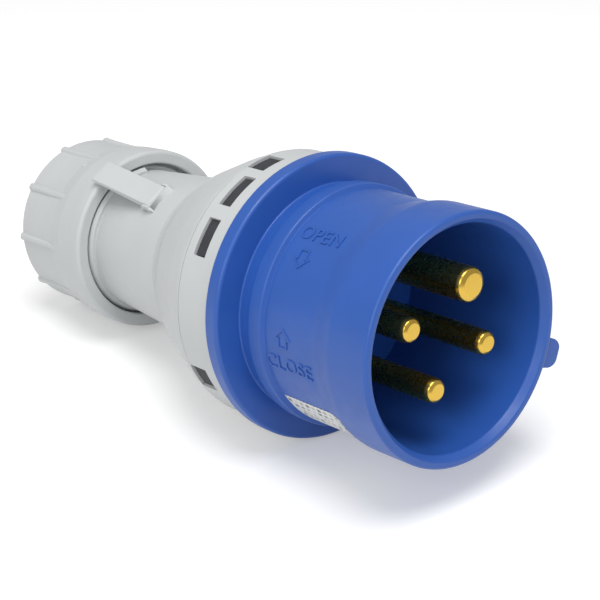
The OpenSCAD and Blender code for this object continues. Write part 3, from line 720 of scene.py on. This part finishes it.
def spiral(name, radius, turns, rise, start, wide, tall, material):
    """A thread ridge: a trapezoid swept along a helix by a node tree."""
    tree = bpy.data.node_groups.new(name, "GeometryNodeTree")
    sockets = {}
    for label, kind in (("Radius", "NodeSocketFloat"), ("Turns", "NodeSocketFloat"), ("Rise", "NodeSocketFloat"),
                        ("Width", "NodeSocketFloat"), ("Height", "NodeSocketFloat"), ("Finish", "NodeSocketMaterial")):
        sockets[label] = tree.interface.new_socket(label, in_out="INPUT", socket_type=kind).identifier
    tree.interface.new_socket("Geometry", in_out="OUTPUT", socket_type="NodeSocketGeometry")
    given = add(tree, "NodeGroupInput").outputs
    helix = add(tree, "GeometryNodeCurveSpiral", {
        "Resolution": 72, "Rotations": given["Turns"], "Start Radius": given["Radius"],
        "End Radius": given["Radius"], "Height": given["Rise"]})
    upright = add(tree, "GeometryNodeSetCurveNormal", {"Curve": helix.outputs["Curve"]})
    upright.mode = "Z_UP"
    trapezoid = add(tree, "GeometryNodeCurvePrimitiveQuadrilateral", {"Offset": 0.0}, mode="TRAPEZOID")
    tree.links.new(given["Height"], trapezoid.inputs["Height"])
    tree.links.new(given["Width"], trapezoid.inputs["Bottom Width"])
    narrow = add(tree, "ShaderNodeMath", {0: given["Width"], 1: 0.45}, operation="MULTIPLY")
    tree.links.new(narrow.outputs[0], trapezoid.inputs["Top Width"])
    swept = add(tree, "GeometryNodeCurveToMesh", {
        "Curve": upright.outputs["Curve"], "Profile Curve": trapezoid.outputs["Curve"], "Fill Caps": True})
    real = add(tree, "GeometryNodeRealizeInstances", {"Geometry": swept.outputs["Mesh"]})
    painted = add(tree, "GeometryNodeSetMaterial", {"Geometry": real.outputs["Geometry"], "Material": given["Finish"]})
    result = add(tree, "NodeGroupOutput")
    tree.links.new(painted.outputs["Geometry"], result.inputs["Geometry"])
    piece = bpy.data.objects.new(name, bpy.data.meshes.new(name))
    bpy.context.scene.collection.objects.link(piece)
    nodes = piece.modifiers.new("thread", "NODES")
    nodes.node_group = tree
    for label, value in (("Radius", radius * MM), ("Turns", turns), ("Rise", rise * MM), ("Width", wide * MM),
                         ("Height", tall * MM), ("Finish", material)):
        nodes[sockets[label]] = value
    baked(piece)
    piece.data.transform(place() @ Matrix.Translation((0, 0, start * MM)))
    return piece


class PLUG_OT_rear_housing(bpy.types.Operator):
    """Builds the grey bell and neck with the hinge of the lock lever, and the neck's thread"""

    bl_idname = "plug.rear_housing"
    bl_label = "Rear housing"

    def execute(self, context):
        rear = context.scene.plug.rear
        grey = finish_of("grey")
        r, neck = rear.ring / MM - 0.1, rear.neck / MM
        section = filleted([
            (r, 51.65, 0.08), (r - 0.2, 52.6, 1.5), (26.25, 58.0, 8), (22.1, 67.9, 3), (21.3, 69.05, 1.2), (19.0, 72.4, 4),
            (18.0, 74.9, 3), (neck, 98.6, 0.3), (16.0, 98.85, 0.1), (16.0, 109.6, 0.3), (15.4, 110.05, 0.1),
            (14.3, 110.05, 0), (14.3, 99.25, 0), (13.2, 99.25, 0), (13.2, 77.85, 3), (14.6, 73.85, 2),
            (18.6, 67.4, 3), (24.3, 55.6, 0.5), (26.2, 54.6, 0.5), (26.2, 51.65, 0),
        ], step=math.radians(6))
        housing = solid(lathe(bmesh.new(), section, 192), "rear_housing_shell", grey)
        half_width = rear.lever_width / MM / 2 + 0.08
        ear = [(15.8, 80.3), (18.25, 82.1), (18.65, 82.5), (18.65, 84.2), (17.4, 85.5), (15.8, 85.5)]
        step = [(15.8, 80.3), (18.25, 82.1), (18.65, 82.3), (15.8, 82.3)]
        bm = bmesh.new()
        slab(bm, ear, 0.6, half_width + 0.3)
        slab(bm, ear, 0.6, -half_width - 0.3)
        slab(bm, step, 2 * half_width + 1.2)
        joined(housing, softened(solid(bm, "hinge", grey, rear.lever), 0.18))
        mounted(housing, "rear", "grey_shell", "rear_housing")
        pitch = rear.pitch / MM
        turns = 9.6 / pitch
        thread = spiral("neck_thread", 16.2, turns, turns * pitch, 99.6, 2.0, 1.0, grey)
        mounted(thread, "rear", "grey_shell")
        return {"FINISHED"}


def rib_mesh(rear):
    """One grip rib: a nub at the nut's rear edge that thins out into a ridge as it runs forwards."""
    top = rear.rib_width / MM / 2
    levels = ((106.5, 19.9, 19.95), (110.0, 19.5, 19.9), (114.0, 18.9, 19.72), (118.0, 18.7, 19.74),
              (122.0, 19.0, 19.8), (124.4, 19.1, 19.92), (125.3, 19.1, 19.95), (125.68, 18.9, 19.7),
              (125.82, 18.6, 19.3))
    bm = bmesh.new()
    rows = []
    for s, foot, crest in levels:
        rise = max(crest - foot, 0.05)
        wide = top + rise * 0.42
        row = [(-wide - 0.35, foot - 0.8), (-wide - 0.35, foot - 0.12), (-wide, foot + rise * 0.12),
               (-top - rise * 0.12, foot + rise * 0.72), (-top * 0.72, crest - 0.06), (0, crest),
               (top * 0.72, crest - 0.06), (top + rise * 0.12, foot + rise * 0.72), (wide, foot + rise * 0.12),
               (wide + 0.35, foot - 0.12), (wide + 0.35, foot - 0.8)]
        rows.append([bm.verts.new((h * MM, w * MM, s * MM)) for w, h in row])
    grid_faces(bm, rows, round_rows=False)
    bm.faces.new(rows[0])
    bm.faces.new(reversed(rows[-1]))
    bmesh.ops.recalc_face_normals(bm, faces=bm.faces)
    mesh = bpy.data.meshes.new("rib")
    bm.to_mesh(mesh)
    bm.free()
    return mesh


def ring_of(name, mesh, count, first, material):
    """Copies of a mesh round the axis, set by a node tree."""
    tree = bpy.data.node_groups.new(name, "GeometryNodeTree")
    sockets = {}
    for label, kind in (("Part", "NodeSocketObject"), ("Count", "NodeSocketInt"), ("First angle", "NodeSocketFloat"),
                        ("Finish", "NodeSocketMaterial")):
        sockets[label] = tree.interface.new_socket(label, in_out="INPUT", socket_type=kind).identifier
    tree.interface.new_socket("Geometry", in_out="OUTPUT", socket_type="NodeSocketGeometry")
    given = add(tree, "NodeGroupInput").outputs
    part = add(tree, "GeometryNodeObjectInfo", {"Object": given["Part"]})
    spots = add(tree, "GeometryNodePoints", {"Count": given["Count"]})
    pitch = add(tree, "ShaderNodeMath", {0: TAU, 1: given["Count"]}, operation="DIVIDE")
    index = add(tree, "GeometryNodeInputIndex")
    turn = add(tree, "ShaderNodeMath", {0: index.outputs[0], 1: pitch.outputs[0], 2: given["First angle"]},
               operation="MULTIPLY_ADD")
    spin = add(tree, "ShaderNodeCombineXYZ", {"Z": turn.outputs[0]})
    copies = add(tree, "GeometryNodeInstanceOnPoints", {
        "Points": spots.outputs[0], "Instance": part.outputs["Geometry"], "Rotation": spin.outputs[0]})
    real = add(tree, "GeometryNodeRealizeInstances", {"Geometry": copies.outputs["Instances"]})
    painted = add(tree, "GeometryNodeSetMaterial", {"Geometry": real.outputs["Geometry"], "Material": given["Finish"]})
    result = add(tree, "NodeGroupOutput")
    tree.links.new(painted.outputs["Geometry"], result.inputs["Geometry"])
    part_object = bpy.data.objects.new(name + "_part", mesh)
    bpy.context.scene.collection.objects.link(part_object)
    piece = bpy.data.objects.new(name, bpy.data.meshes.new(name))
    bpy.context.scene.collection.objects.link(piece)
    nodes = piece.modifiers.new("copies", "NODES")
    nodes.node_group = tree
    for label, value in (("Part", part_object), ("Count", count), ("First angle", first), ("Finish", material)):
        nodes[sockets[label]] = value
    baked(piece)
    bpy.data.objects.remove(part_object)
    piece.data.transform(place())
    return piece


class PLUG_OT_gland_nut(bpy.types.Operator):
    """Builds the gland nut with its grip ribs and gate mark"""

    bl_idname = "plug.gland_nut"
    bl_label = "Gland nut"

    def execute(self, context):
        rear = context.scene.plug.rear
        grey = finish_of("grey")
        r = rear.nut / MM
        section = filleted([
            (17.6, 99.95, 0.5), (r, 99.95, 0.9), (r, 102.9, 2), (r - 0.35, 108.6, 6), (19.35, 112.8, 5),
            (19.1, 119.0, 8), (19.25, 125.86, 0.9), (11.1, 125.86, 0.1), (10.5, 125.35, 0.2), (10.5, 122.95, 0.3),
            (13.0, 122.95, 0.2), (15.58, 117.85, 0.3), (15.58, 114.45, 0.2), (16.88, 114.45, 0), (16.88, 103.35, 0),
            (17.6, 103.35, 0),
        ], step=math.radians(8))
        nut = solid(lathe(bmesh.new(), section, 192), "gland_nut_shell", grey)
        mounted(nut, "nut", "grey_shell", "gland_nut")
        ribs = ring_of("nut_ribs", rib_mesh(rear), rear.ribs, rear.first_rib, grey)
        mounted(ribs, "nut", "grey_shell")
        gate = lathe(bmesh.new(), filleted([(0, -0.5, 0), (0.75, -0.5, 0), (0.75, 0.16, 0.12), (0, 0.2, 0)],
                                           closed=False), 32)
        bmesh.ops.rotate(gate, verts=gate.verts, matrix=Matrix.Rotation(math.radians(90), 3, "Y"))
        bmesh.ops.translate(gate, verts=gate.verts, vec=(19.45 * MM, 0, 112.3 * MM))
        mounted(solid(gate, "nut_gate_mark", grey, math.radians(-24.5)), "nut", "grey_shell")
        return {"FINISHED"}


class PLUG_OT_lock_lever(bpy.types.Operator):
    """Builds the lock lever that catches the gland nut"""

    bl_idname = "plug.lock_lever"
    bl_label = "Lock lever"

    def execute(self, context):
        rear = context.scene.plug.rear
        root = filleted([
            (18.55, 82.7, 0.9), (18.75, 84.0, 4), (22.2, 100.2, 2), (22.35, 101.15, 0.3), (20.9, 101.15, 0.2),
            (20.85, 99.2, 0.5), (19.2, 93.0, 4), (17.0, 84.9, 1.0), (16.2, 84.2, 1.2), (16.3, 82.7, 1.1)])
        bm = slab(bmesh.new(), root, rear.lever_width / MM)
        lever = solid(bm, "lock_lever_arm", finish_of("grey"), rear.lever)
        softened(lever, 0.28, 4, 40)
        mounted(lever, "lever", "grey_shell", "lock_lever")
        return {"FINISHED"}


class PLUG_OT_inner_parts(bpy.types.Operator):
    """Gives the CAD nodes that stay their finishes"""

    bl_idname = "plug.inner_parts"
    bl_label = "Inner parts"

    def execute(self, context):
        kinds = {
            "contact_carrier": "carrier", "terminal_block": "dark", "centre_screw": "steel",
            # The spigot seal is black rubber. Its dark colour also stands as painted shade where it shows in the
            # bayonet ring's windows and notches.
            "terminal_screws": "steel", "spigot_seal": "rubber", "cable_seal": "rubber", "thrust_washer": "pale",
            "clamping_cage": "grey", "slip_ring": "pale", "lever_pin": "steel",
        }
        for name, kind in kinds.items():
            mesh = frame["nodes"][name].data
            mesh.materials.clear()
            mesh.materials.append(finish_of(kind))
        return {"FINISHED"}


class PLUG_OT_stage(bpy.types.Operator):
    """Sets the floor, the lights, the world and the camera"""

    bl_idname = "plug.stage"
    bl_label = "Stage"

    def execute(self, context):
        scene, stage = context.scene, context.scene.plug.stage
        scene.view_settings.view_transform = "Standard"
        bm = bmesh.new()
        bmesh.ops.create_grid(bm, x_segments=1, y_segments=1, size=4)
        mesh = bpy.data.meshes.new("floor")
        bm.to_mesh(mesh)
        bm.free()
        floor = bpy.data.objects.new("floor", mesh)
        scene.collection.objects.link(floor)
        material, tree, out = blank("Paper sweep")
        shader = add(tree, "ShaderNodeBsdfDiffuse", {"Color": (0.8, 0.8, 0.8, 1)})
        path = add(tree, "ShaderNodeLightPath")
        seen = add(tree, "ShaderNodeMath", {0: path.outputs["Is Camera Ray"], 1: path.outputs["Is Glossy Ray"]},
                   operation="MAXIMUM")
        seen = add(tree, "ShaderNodeMath", {0: seen.outputs[0], 1: path.outputs["Is Transmission Ray"]},
                   operation="MAXIMUM")
        lift = add(tree, "ShaderNodeMath", {0: seen.outputs[0], 1: 0.3}, operation="MULTIPLY")
        glow = add(tree, "ShaderNodeEmission", {"Strength": lift.outputs[0]})
        both = add(tree, "ShaderNodeAddShader", {0: shader.outputs[0], 1: glow.outputs[0]})
        tree.links.new(both.outputs[0], out.inputs["Surface"])
        mesh.materials.append(material)

        world = bpy.data.worlds.new("White room")
        scene.world = world
        world.use_nodes = True
        tree = world.node_tree
        tree.nodes.clear()
        path = add(tree, "ShaderNodeLightPath")
        seen = add(tree, "ShaderNodeMath", {0: path.outputs["Is Camera Ray"], 1: path.outputs["Is Transmission Ray"]},
                   operation="MAXIMUM")
        strength = add(tree, "ShaderNodeMapRange", {"Value": seen.outputs[0], "To Min": stage.room, "To Max": 1.0})
        sky = add(tree, "ShaderNodeBackground", {"Color": (1, 1, 1, 1), "Strength": strength.outputs["Result"]})
        out = add(tree, "ShaderNodeOutputWorld")
        tree.links.new(sky.outputs[0], out.inputs["Surface"])

        aim = MOUTH + AXIS * 0.05
        for name, where, across, power in (
            ("overhead light", (-0.12, -0.18, 0.75), 0.5, stage.key_power),
            ("left light", (-0.75, -0.35, 0.45), 0.45, stage.fill_power),
        ):
            lamp = bpy.data.lights.new(name, "AREA")
            lamp.shape = "DISK"
            lamp.size = across
            lamp.energy = power
            holder = bpy.data.objects.new(name, lamp)
            holder.location = aim + Vector(where)
            holder.rotation_mode = "QUATERNION"
            holder.rotation_quaternion = (-Vector(where)).to_track_quat("-Z", "Y")
            scene.collection.objects.link(holder)

        camera = bpy.data.cameras.new("camera")
        camera.sensor_width = 36
        camera.lens = stage.lens
        holder = bpy.data.objects.new("camera", camera)
        turn, rise = stage.azimuth, stage.elevation
        back = Vector((math.sin(turn) * math.cos(rise), -math.cos(turn) * math.cos(rise), math.sin(rise)))
        right = Vector((math.cos(turn), math.sin(turn), 0))
        above = back.cross(right)
        holder.location = MOUTH + back * stage.distance - right * stage.aside + above * stage.below
        holder.rotation_mode = "QUATERNION"
        holder.rotation_quaternion = Matrix((right, above, back)).transposed().to_quaternion()
        scene.collection.objects.link(holder)
        scene.camera = holder
        return {"FINISHED"}


class PLUG_PT_panel(bpy.types.Panel):
    """Lists the plug's pieces and sizes"""

    bl_idname = "PLUG_PT_panel"
    bl_label = "Pin and sleeve plug"
    bl_space_type = "VIEW_3D"
    bl_region_type = "UI"
    bl_category = "Plug"

    def draw(self, context):
        settings = context.scene.plug
        for group in ("shell", "pins", "rear", "finish", "stage"):
            box = self.layout.box()
            box.label(text=group.capitalize())
            for name in getattr(settings, group).__annotations__:
                box.prop(getattr(settings, group), name)
        for operator in OPERATORS:
            self.layout.operator(operator.bl_idname)


OPERATORS = (PLUG_OT_stage, PLUG_OT_front_housing, PLUG_OT_marks, PLUG_OT_label, PLUG_OT_pins, PLUG_OT_bayonet_ring,
             PLUG_OT_rear_housing, PLUG_OT_gland_nut, PLUG_OT_lock_lever, PLUG_OT_inner_parts)
CLASSES = (ShellSizes, PinSizes, RearSizes, Finishes, StageSizes, PlugSettings, *OPERATORS, PLUG_PT_panel)


def register():
    for item in CLASSES:
        bpy.utils.register_class(item)
    bpy.types.Scene.plug = PointerProperty(type=PlugSettings)


def unregister():
    del bpy.types.Scene.plug
    for item in reversed(CLASSES):
        bpy.utils.unregister_class(item)


def main():
    register()
    for operator in OPERATORS:
        group, name = operator.bl_idname.split(".")
        getattr(getattr(bpy.ops, group), name)()


if __name__ == "__main__":
    main()
